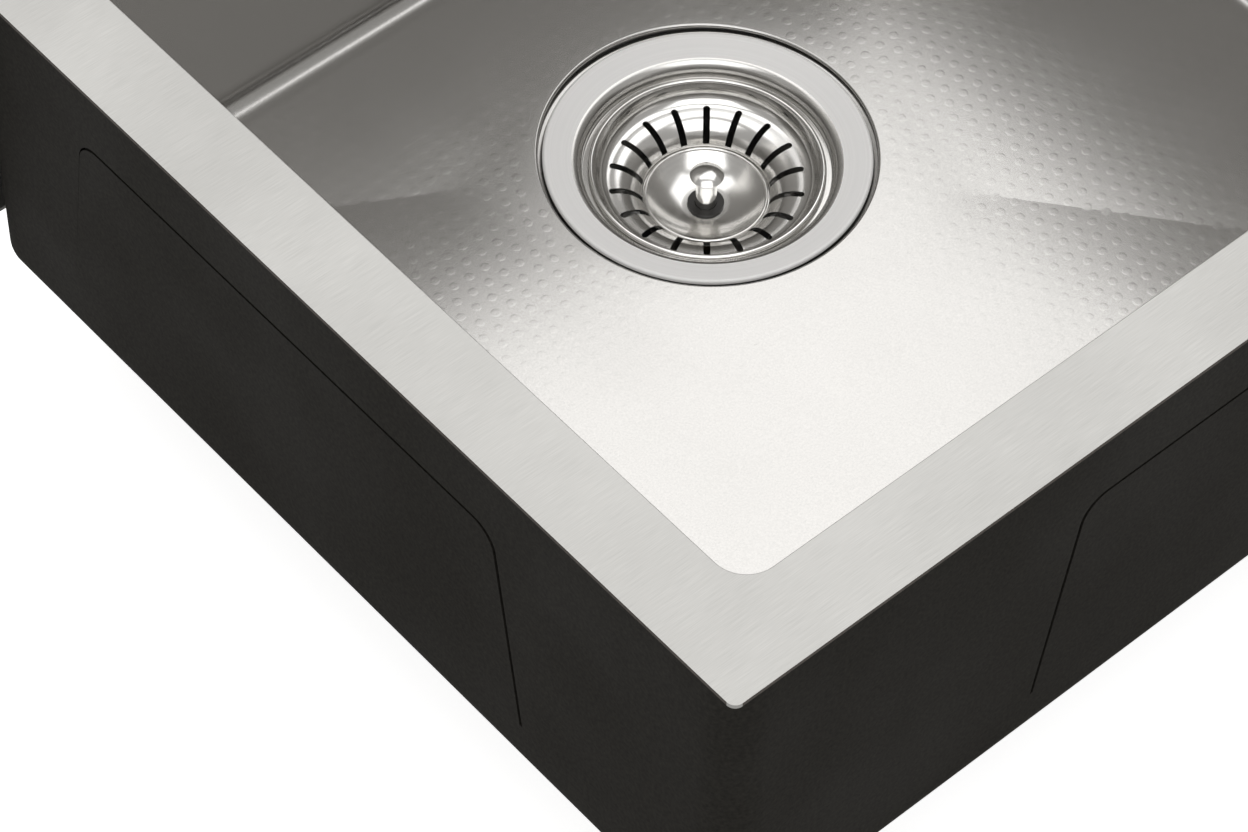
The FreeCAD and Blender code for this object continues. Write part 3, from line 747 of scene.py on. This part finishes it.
@dataclass
class Basket(TurnedWork):
    """The lift-out basket: slotted cup, polished dish, and the bush that guides the post."""

    sheet: float = 0.8
    wall: float = 39.2
    lip_height: float = -7.4
    lip_radius: float = 1.0
    hollow: float = 5.2
    hollow_floor: float = -13.8
    hump: float = 12.2
    hump_end: float = -21.2
    seat_radius: float = 22.0
    seat_inner: float = 20.5
    slots: int = 18
    slot_turn: float = 8.5
    slot_width: float = 2.4
    slot_inner: float = 22.4
    slot_outer: float = 34.2
    slot_tool_bottom: float = -30.0
    slot_tool_top: float = -8.0
    slot_rounding: float = 0.49
    dish_radius: float = 21.7
    dish_bead: float = 0.65
    dish_bead_foot: float = -21.55
    dish_bend: float = 30.0
    dish_flat: float = 8.0
    dish_bottom: float = -26.2
    dish_hole: float = 5.1

    def build(self) -> None:
        """Model the cup and the dish, and dress the bush and its nut."""
        self._cup()
        self._dish()
        self.paint.carry("guide_bush", DARK_ACETAL)
        self.paint.carry("bush_nut", BRASS)

    def _cup(self) -> None:
        """Turn the cup, then cut its ring of slots."""
        inside = self.wall - self.sheet
        bend = inside - self.hollow
        seat = self.hump_end - self.sheet
        under = self.hump - self.sheet
        rise = seat - self.sheet - (self.hollow_floor - self.hump)
        lip, lip_foot = self.wall + self.lip_radius, self.lip_height - self.lip_radius
        section = (
            Section(inside, self.hollow_floor + self.hollow)
            .arc(bend, self.hollow_floor, -self.hollow, 8)
            .arc(self.seat_radius, self.hump_end, self.hump, 14)
            .line(self.seat_radius, seat)
            .line(self.seat_inner, seat)
            .line(self.seat_inner, seat - self.sheet)
            .line(bend - math.sqrt(under ** 2 - rise ** 2), seat - self.sheet)
            .arc(bend, self.hollow_floor - self.sheet, -under, 14)
            .arc(self.wall, self.hollow_floor + self.hollow, self.hollow + self.sheet, 8)
            .line(self.wall, lip_foot)
            .line(lip, lip_foot)
            .arc(lip + self.lip_radius, self.lip_height, self.lip_radius, 4)
            .arc(lip, self.lip_height + self.lip_radius, self.lip_radius, 4)
            .arc(self.wall, self.lip_height, self.lip_radius, 4)
            .line(inside, lip_foot)
        )
        piece = self.turn("basket_bowl", section)
        Bench.cut(piece, self._slot_tool())
        Bench.tidy(piece, 30)
        self.paint.stand_in(piece, "basket_cup", MIRROR)

    def _slot_tool(self) -> Piece:
        """Make the tool that cuts the slots: one round-ended bar, copied round the axis.

        Returns:
            The tool as one mesh.
        """
        width = self.slot_width * MM
        low = Vector((self.slot_inner * MM, -width / 2, self.slot_tool_bottom * MM))
        high = Vector((self.slot_outer * MM, width / 2, self.slot_tool_top * MM))
        bar = Bench.block("slot_tool", self.centre + low, self.centre + high)
        outer = self.centre.x + high.x - TOUCH
        Bench.bevel(
            bar,
            lambda ends: all(end.x > outer for end in ends) and abs(ends[0].z - ends[1].z) > MM,
            width * self.slot_rounding, 4,
        )
        bars = [bar]
        for _ in range(1, self.slots):
            copy = bar.copy()
            copy.data = bar.data.copy()
            bpy.context.scene.collection.objects.link(copy)
            bars.append(copy)
        for index, item in enumerate(bars):
            with Bench.editing(item):
                bpy.ops.mesh.select_all(action="SELECT")
                angle = -(math.radians(self.slot_turn) + math.tau * index / self.slots)
                bpy.ops.transform.rotate(value=angle, orient_axis="Z", center_override=self.centre)
        for item in bars:
            item.select_set(True)
        bpy.context.view_layer.objects.active = bar
        bpy.ops.object.join()
        return bar

    def _dish(self) -> None:
        """Turn the polished dish in the middle of the basket."""
        bead = self.dish_bead
        inner = self.dish_radius - 2 * bead
        seat = self.hump_end - self.sheet
        section = (
            Section(self.dish_radius, seat)
            .line(self.dish_radius, self.dish_bead_foot)
            .arc(self.dish_radius - bead, self.dish_bead_foot + bead, bead, 5)
            .arc(inner, self.dish_bead_foot, bead, 5)
            .arc(self.dish_flat, self.dish_bottom, -self.dish_bend, 12)
            .line(self.dish_hole, self.dish_bottom)
            .line(self.dish_hole, self.dish_bottom - self.sheet)
            .line(self.dish_flat, self.dish_bottom - self.sheet)
            .arc(inner, seat, self.dish_bend + self.sheet, 12)
        )
        piece = self.turn("dish_polished", section)
        Bench.tidy(piece, 30)
        self.paint.stand_in(piece, "basket_dish", MIRROR)


@dataclass
class Stopper(TurnedWork):
    """The stopper: knob and post, spring clip, plate, rubber and nut."""

    steps: int = 64
    stud_radius: float = 2.5
    stud_chamfer: float = 0.4
    stud_end: float = -47.3
    shaft_radius: float = 3.75
    shaft_end: float = -34.6
    groove_radius: float = 3.25
    groove_low: float = -33.8
    groove_high: float = -33.0
    flare_foot: float = -14.06
    flare_bend: float = 4.16
    knob_foot: tuple[float, float] = (5.7, -11.76)
    knob_edge: tuple[float, float] = (5.95, -11.06)
    knob_rounding: float = 0.6
    dome_top: float = -9.36
    dome_bend: float = 10.67

    def build(self) -> None:
        """Model the post and dress what it carries."""
        self._post()
        for node, finish in (
            ("post_clip", SPRING), ("stopper_plate", SATIN), ("rubber_stopper", RUBBER), ("post_nut", BRASS),
        ):
            self.paint.carry(node, finish)

    def _post(self) -> None:
        """Turn the post: a domed knob on a shaft, with the clip's groove and the stud."""
        section = (
            Section(0, self.stud_end)
            .line(self.stud_radius - self.stud_chamfer, self.stud_end)
            .line(self.stud_radius, self.stud_end + self.stud_chamfer)
            .line(self.stud_radius, self.shaft_end)
            .line(self.shaft_radius, self.shaft_end)
            .line(self.shaft_radius, self.groove_low)
            .line(self.groove_radius, self.groove_low)
            .line(self.groove_radius, self.groove_high)
            .line(self.shaft_radius, self.groove_high)
            .line(self.shaft_radius, self.flare_foot)
            .arc(*self.knob_foot, -self.flare_bend, 5)
            .arc(*self.knob_edge, self.knob_rounding, 3)
            .arc(0, self.dome_top, self.dome_bend, 12)
        )
        piece = self.turn("pull_knob", section)
        Bench.tidy(piece, 30)
        self.paint.stand_in(piece, "stopper_post", MIRROR)


@dataclass
class Bowl:
    """The bowl and its rim, apron, coat and pads. Lengths are in metres.

    Near the drain the creases are rounded by fade_width, a difference of shares, and from
    fade_start to fade_end from the drain's axis the rounding goes to nothing.
    """

    paint: Paintshop
    drain: Vector
    sheet: float = 1.2 * MM
    corner: float = 11 * MM
    corner_steps: int = 10
    foot: float = 7 * MM
    foot_steps: int = 8
    crease_inset: float = 2 * MM
    depth: float = 185 * MM
    fall: float = 6 * MM
    fade_start: float = 60 * MM
    fade_end: float = 98 * MM
    fade_width: float = 0.38
    sharp_overlap: float = 8 * MM
    sharp_width: float = 0.004
    long_side: float = 100 * MM
    corner_reach: float = 3 * MM
    side_cuts: int = 79
    rows: int = 30
    recess_depth: float = 191.74 * MM
    recess_radius: float = 58.5 * MM
    recess_slope: float = 0.30588
    lip: float = 1.0 * MM
    lip_steps: int = 5
    pad_gap: float = 1.2 * MM
    hole_radius: float = 45 * MM
    dot_pitch: float = 6.8 * MM
    dot_radius: float = 2.0 * MM
    dot_height: float = 0.018 * MM
    dot_sides: int = 10
    dot_taper: float = 0.75
    dot_inset: float = 0.3
    dot_crown: float = 0.4
    dot_sunk: float = 0.4
    dot_margin: float = 3 * MM
    half: Vector = field(init=False)

    def build(self) -> None:
        """Model the bowl and dress what goes round it."""
        _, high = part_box("sink_bowl")
        edge = self.sheet + self.foot + self.crease_inset
        self.half = Vector((high.x - edge, high.y - edge))
        self._bowl()
        self._dots()
        rim = self.paint.carry("rim_plate", BRUSHED)
        _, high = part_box("rim_plate")
        # The rim's outer edge faces get the dark brown colour.
        self.paint.patch(
            rim, DARK_RIM_EDGE,
            lambda spots: any(all(abs(spot[axis]) > high[axis] - TOUCH for spot in spots) for axis in (0, 1)),
        )
        self.paint.carry("apron_panel", BRUSHED)
        self.paint.carry("undercoat", COAT)
        self._close_groove(self.paint.carry("sound_pad_right", PAD))
        for side in ("left", "back", "front", "apron"):
            self.paint.carry("sound_pad_" + side, PAD)

    def _close_groove(self, pad: Piece) -> None:
        """Widen the right pad over the groove along its far side, which hardly shows.

        Args:
            pad: The pad.
        """
        low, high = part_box("sound_pad_right")
        middle = (low.y + high.y) / 2
        Bench.pick(pad, "VERT", lambda spots: spots[0].y < middle)
        with Bench.editing(pad):
            bpy.ops.transform.translate(value=(0, -self.pad_gap, 0))

    def _bowl(self) -> None:
        """Model the bowl: rounded walls, a creased floor and the drain's pressed recess."""
        _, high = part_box("sink_bowl")
        inner = Vector((high.x - self.sheet, high.y - self.sheet, high.z))
        block = Bench.block("bowl_shell", Vector((-inner.x, -inner.y, -self.depth)), inner)
        upright = self.depth / 2
        Bench.bevel(block, lambda ends: abs(ends[0].z - ends[1].z) > upright, self.corner, self.corner_steps)
        Bench.bevel(block, self._level, self.foot, self.foot_steps)
        Bench.pick(block, "FACE", self._level)
        with Bench.editing(block):
            bpy.ops.mesh.inset(thickness=self.crease_inset, depth=0)
        self._fold(block)
        self._press_recess(block)
        with Bench.editing(block):
            Bench.merge(recalc=True)
        Bench.pick(block, "FACE", lambda spots: all(spot.z > inner.z - TOUCH for spot in spots))
        with Bench.editing(block):
            bpy.ops.mesh.delete(type="FACE")
        Bench.apply(block, "SOLIDIFY", thickness=self.sheet, offset=1, use_even_offset=True)
        creased = Bench.pick(block, "EDGE", lambda ends: all(self._on_crease(end) for end in ends))
        log.info("%d edges of the creases stay sharp", creased)
        with Bench.editing(block):
            bpy.ops.mesh.mark_sharp()
        Bench.tidy(block, 30, recalc=False)
        self.paint.stand_in(block, "sink_bowl", SATIN)

    def _reach(self, spot: Vector) -> float:
        """Give a point's distance from the drain's axis."""
        return (spot.xy - self.drain.xy).length

    def _inside(self, spot: Vector) -> bool:
        """Tell whether a point lies within the floor's folded part, seen from above."""
        return abs(spot.x) < self.half.x + TOUCH and abs(spot.y) < self.half.y + TOUCH

    def _level(self, spots: Sequence[Vector]) -> bool:
        """Tell whether all the points are level with the unfolded floor."""
        return all(abs(spot.z + self.depth) < TOUCH for spot in spots)

    def _flat(self, spots: Sequence[Vector]) -> bool:
        """Tell whether all the points are on the part of the floor that is still to be folded."""
        return self._level(spots) and all(self._inside(spot) for spot in spots)

    def _shares(self, spot: Vector) -> list[float]:
        """Give the point's distance to each wall as a share of the drain's, smallest first.

        Args:
            spot: A point on the floor.

        Returns:
            Four shares, each 0 at its wall and 1 level with the drain.
        """
        half, drain = self.half, self.drain
        return sorted((
            (half.x - spot.x) / (half.x - drain.x),
            (half.x + spot.x) / (half.x + drain.x),
            (half.y - spot.y) / (half.y - drain.y),
            (half.y + spot.y) / (half.y + drain.y),
        ))

    def _floor_height(self, spot: Vector) -> float:
        """Give the folded floor's height at a point.

        Args:
            spot: A point on the floor.

        Returns:
            The height, with the creases rounded near the drain and sharp further out.
        """
        nearest, second = self._shares(spot)[:2]
        left = self.fade_end - self._reach(spot)
        fade = min(max(left / (self.fade_end - self.fade_start), 0.0), 1.0)
        width = self.fade_width * fade * fade * (3 - 2 * fade)
        blend = max(width - (second - nearest), 0.0) / width if width > 0 else 0.0
        return -self.depth - self.fall * (nearest - blend * blend * width / 4)

    def _on_crease(self, spot: Vector) -> bool:
        """Tell whether a point lies on the sharp part of a crease."""
        nearest, second = self._shares(spot)[:2]
        far = self._reach(spot) > self.fade_end - self.sharp_overlap
        low = spot.z < -self.depth + TOUCH
        return far and low and self._inside(spot) and second - nearest < self.sharp_width

    def _draw_in(self, drop: float, share: float) -> None:
        """Extrude what is selected, lower it by a drop and scale it to a share about the drain's axis."""
        bpy.ops.mesh.extrude_region_move(TRANSFORM_OT_translate={"value": (0, 0, -drop)})
        bpy.ops.transform.resize(value=(share, share, 1), center_override=self.drain)

    def _fold(self, block: Piece) -> None:
        """Fold the floor into four falls that meet in creases and end at the recess's lip.

        Args:
            block: The bowl's block, with the floor's inset face in place.
        """
        half = self.half
        Bench.pick(
            block, "EDGE", lambda ends: self._flat(ends) and (ends[0] - ends[1]).length > self.long_side
        )
        with Bench.editing(block):
            bpy.ops.mesh.subdivide(number_cuts=self.side_cuts)
        for x, y in ((-half.x, -half.y), (-half.x, half.y), (half.x, -half.y), (half.x, half.y)):
            corner = Vector((x, y, -self.depth))
            Bench.pick(
                block, "VERT",
                lambda spots: self._flat(spots) and (spots[0] - corner).length < self.corner_reach,
            )
            with Bench.editing(block):
                bpy.ops.transform.resize(value=(0, 0, 0), center_override=corner)
                bpy.ops.mesh.remove_doubles(threshold=TOUCH)
        Bench.pick(block, "FACE", self._flat)
        size, first = 1.0, 1 / self.rows
        with Bench.editing(block):
            for row in range(1, self.rows):
                wanted = 1 - row / self.rows
                self._draw_in(0, wanted / size)
                size = wanted
            bpy.ops.mesh.delete(type="ONLY_FACE")
        lip = self.recess_radius + self.lip
        for corner in block.data.vertices:
            if self._flat([corner.co]):
                share = 1 - self._shares(corner.co)[0]
                arm = corner.co.xy - self.drain.xy
                reach = lip + (arm.length / share - lip) * (share - first) / (1 - first)
                corner.co.xy = self.drain.xy + arm.normalized() * reach
                corner.co.z = self._floor_height(corner.co)

    def _press_recess(self, block: Piece) -> None:
        """Extrude the floor's inner edge over the recess's lip, down its wall and in to the drain's hole.

        Args:
            block: The bowl's block after folding.
        """
        start = radius = self.recess_radius + self.lip
        Bench.pick(block, "EDGE", lambda ends: all(abs(self._reach(end) - start) < TOUCH for end in ends))
        drop = 0.0
        with Bench.editing(block):
            for step in range(1, self.lip_steps + 1):
                turn = math.pi / 2 * step / self.lip_steps
                wanted = self.recess_radius + self.lip * (1 - math.sin(turn))
                sunk = self.lip * (1 - math.cos(turn))
                self._draw_in(sunk - drop, wanted / radius)
                radius, drop = wanted, sunk
            bottom = Vector((self.drain.x, self.drain.y, -self.recess_depth))
            bpy.ops.mesh.extrude_region_move()
            bpy.ops.transform.resize(value=(1, 1, 0), center_override=bottom)
            self._draw_in((radius - self.hole_radius) * self.recess_slope, self.hole_radius / radius)

    def _dots(self) -> None:
        """Emboss the floor: one low dot, repeated over a staggered lattice and laid on the falls."""
        half = self.half
        row = self.dot_pitch * math.sqrt(3) / 2
        start = Vector((-half.x, -half.y, -self.dot_sunk * self.dot_height))
        bpy.ops.mesh.primitive_circle_add(
            vertices=self.dot_sides, radius=self.dot_radius, fill_type="NGON", location=start
        )
        dots = Bench.settled("floor_dots")
        with Bench.editing(dots):
            bpy.ops.mesh.select_all(action="SELECT")
            bpy.ops.mesh.extrude_region_move(TRANSFORM_OT_translate={"value": (0, 0, self.dot_height)})
            bpy.ops.transform.resize(value=(self.dot_taper, self.dot_taper, 1), center_override=start)
            bpy.ops.mesh.inset(
                thickness=self.dot_radius * self.dot_inset, depth=self.dot_height * self.dot_crown
            )
            bpy.ops.mesh.select_all(action="SELECT")
            bpy.ops.mesh.normals_make_consistent(inside=False)
        corners = len(dots.data.vertices)
        for count, shift in (
            (2, (self.dot_pitch / 2, row, 0)),
            (int(2 * half.x / self.dot_pitch) + 1, (self.dot_pitch, 0, 0)),
            (int(half.y / row) + 1, (0, 2 * row, 0)),
        ):
            Bench.apply(
                dots, "ARRAY", count=count, use_relative_offset=False,
                use_constant_offset=True, constant_offset_displace=shift,
            )
        spots = dots.data.vertices
        for first in range(0, len(spots), corners):
            dot = spots[first:first + corners]
            middle = sum((spot.co for spot in dot), Vector()) / corners
            clear = all(abs(middle[axis]) < half[axis] - self.dot_margin for axis in (0, 1))
            if clear and self._reach(middle) > self.recess_radius + self.lip + self.dot_radius:
                for spot in dot:
                    spot.co.z += self._floor_height(spot.co)
        Bench.pick(dots, "VERT", lambda places: places[0].z > -self.depth / 2)
        with Bench.editing(dots):
            bpy.ops.mesh.delete(type="VERT")
        Bench.tidy(dots, 30, recalc=False)
        self.paint.dress(dots, SATIN)
        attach(dots, frame["nodes"]["sink_bowl"]["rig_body"])
        log.info("%s: %d faces", dots.name, len(dots.data.polygons))


@dataclass(frozen=True)
class SoftBox:
    """One soft light.

    Attributes:
        name: Its name.
        direction: Where it hangs, seen from the sink.
        size: Length of its side.
        power: Its power in watts.
    """

    name: str
    direction: tuple[float, float, float]
    size: float
    power: float


@dataclass
class Studio:
    """The plain studio: floor, soft light and the photograph's camera."""

    lens: float = 133.57
    sensor: float = 36.0
    place: tuple[float, float, float] = (0.7122, 0.6970, 1.0117)
    turn: tuple[float, float, float] = (37.751, -0.865, 139.039)
    main_box: SoftBox = SoftBox("softbox", (-0.42, -0.43, 0.79), 2.2, 20.0)
    top_box: SoftBox = SoftBox("overhead_box", (0.2, 0.25, 0.93), 1.7, 15.0)
    box_distance: float = 2.2
    sky: float = 0.42
    sky_colour: tuple[float, ...] = (1, 0.985, 0.96, 1)
    white: tuple[float, ...] = (1, 1, 1, 1)
    floor_size: float = 8.0
    floor_gap: float = 0.5 * MM
    floor_colour: tuple[float, ...] = (0.92, 0.92, 0.92, 1)
    floor_roughness: float = 0.9
    floor_glow: float = 0.8

    def build(self) -> None:
        """Set up the whole studio."""
        self._camera()
        self._softbox(self.main_box)
        self._softbox(self.top_box)
        self._world()
        self._floor()
        bpy.context.scene.view_settings.view_transform = "Standard"

    def _camera(self) -> None:
        """Stand the camera where the photograph was taken from."""
        lens = bpy.data.cameras.new("camera")
        lens.lens = self.lens
        lens.sensor_width = self.sensor
        camera = bpy.data.objects.new("camera", lens)
        camera.location = self.place
        camera.rotation_euler = Euler([math.radians(angle) for angle in self.turn])
        bpy.context.scene.collection.objects.link(camera)
        bpy.context.scene.camera = camera

    def _softbox(self, box: SoftBox) -> None:
        """Hang a softbox that faces the sink.

        Args:
            box: Its place, size and power.
        """
        light = bpy.data.lights.new(box.name, "AREA")
        light.shape = "SQUARE"
        light.size = box.size
        light.energy = box.power
        lamp = bpy.data.objects.new(box.name, light)
        direction = Vector(box.direction).normalized()
        lamp.location = direction * self.box_distance
        lamp.rotation_euler = direction.to_track_quat("Z", "Y").to_euler()
        lamp.visible_camera = False
        bpy.context.scene.collection.objects.link(lamp)

    def _world(self) -> None:
        """Fill the room with even light, and show it white to the camera."""
        world = bpy.data.worlds.new("room")
        bpy.context.scene.world = world
        world.use_nodes = True
        nodes, links = world.node_tree.nodes, world.node_tree.links
        nodes.clear()
        room = nodes.new("ShaderNodeBackground")
        room.inputs["Color"].default_value = self.sky_colour
        room.inputs["Strength"].default_value = self.sky
        backdrop = nodes.new("ShaderNodeBackground")
        backdrop.inputs["Color"].default_value = self.white
        path = nodes.new("ShaderNodeLightPath")
        mixed = nodes.new("ShaderNodeMixShader")
        out = nodes.new("ShaderNodeOutputWorld")
        links.new(path.outputs["Is Camera Ray"], mixed.inputs["Fac"])
        links.new(room.outputs[0], mixed.inputs[1])
        links.new(backdrop.outputs[0], mixed.inputs[2])
        links.new(mixed.outputs[0], out.inputs["Surface"])

    def _floor(self) -> None:
        """Lay a pale floor under the sink, which the camera sees near white."""
        low, _ = CAD_BOX
        bpy.ops.mesh.primitive_plane_add(size=self.floor_size, location=(0, 0, low.z - self.floor_gap))
        floor = bpy.context.object
        floor.name = "studio_floor"
        material = bpy.data.materials.new("studio_floor")
        material.use_nodes = True
        nodes, links = material.node_tree.nodes, material.node_tree.links
        shader = nodes["Principled BSDF"]
        shader.inputs["Base Color"].default_value = self.floor_colour
        shader.inputs["Roughness"].default_value = self.floor_roughness
        path = nodes.new("ShaderNodeLightPath")
        glow = nodes.new("ShaderNodeMath")
        glow.operation = "MULTIPLY"
        glow.inputs[1].default_value = self.floor_glow
        links.new(path.outputs["Is Camera Ray"], glow.inputs[0])
        shader.inputs["Emission Color"].default_value = self.white
        links.new(glow.outputs[0], shader.inputs["Emission Strength"])
        floor.data.materials.append(material)


def main() -> None:
    """Build the pieces in order, then the studio."""
    logging.basicConfig(level=logging.INFO, format="%(message)s")
    low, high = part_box("strainer_body")
    drain = Vector(((low.x + high.x) / 2, (low.y + high.y) / 2, high.z))
    paint = Paintshop(drain)
    for assembly in (Bowl, Strainer, Basket, Stopper):
        assembly(paint, drain).build()
    Studio().build()


if __name__ == "__main__":
    main()
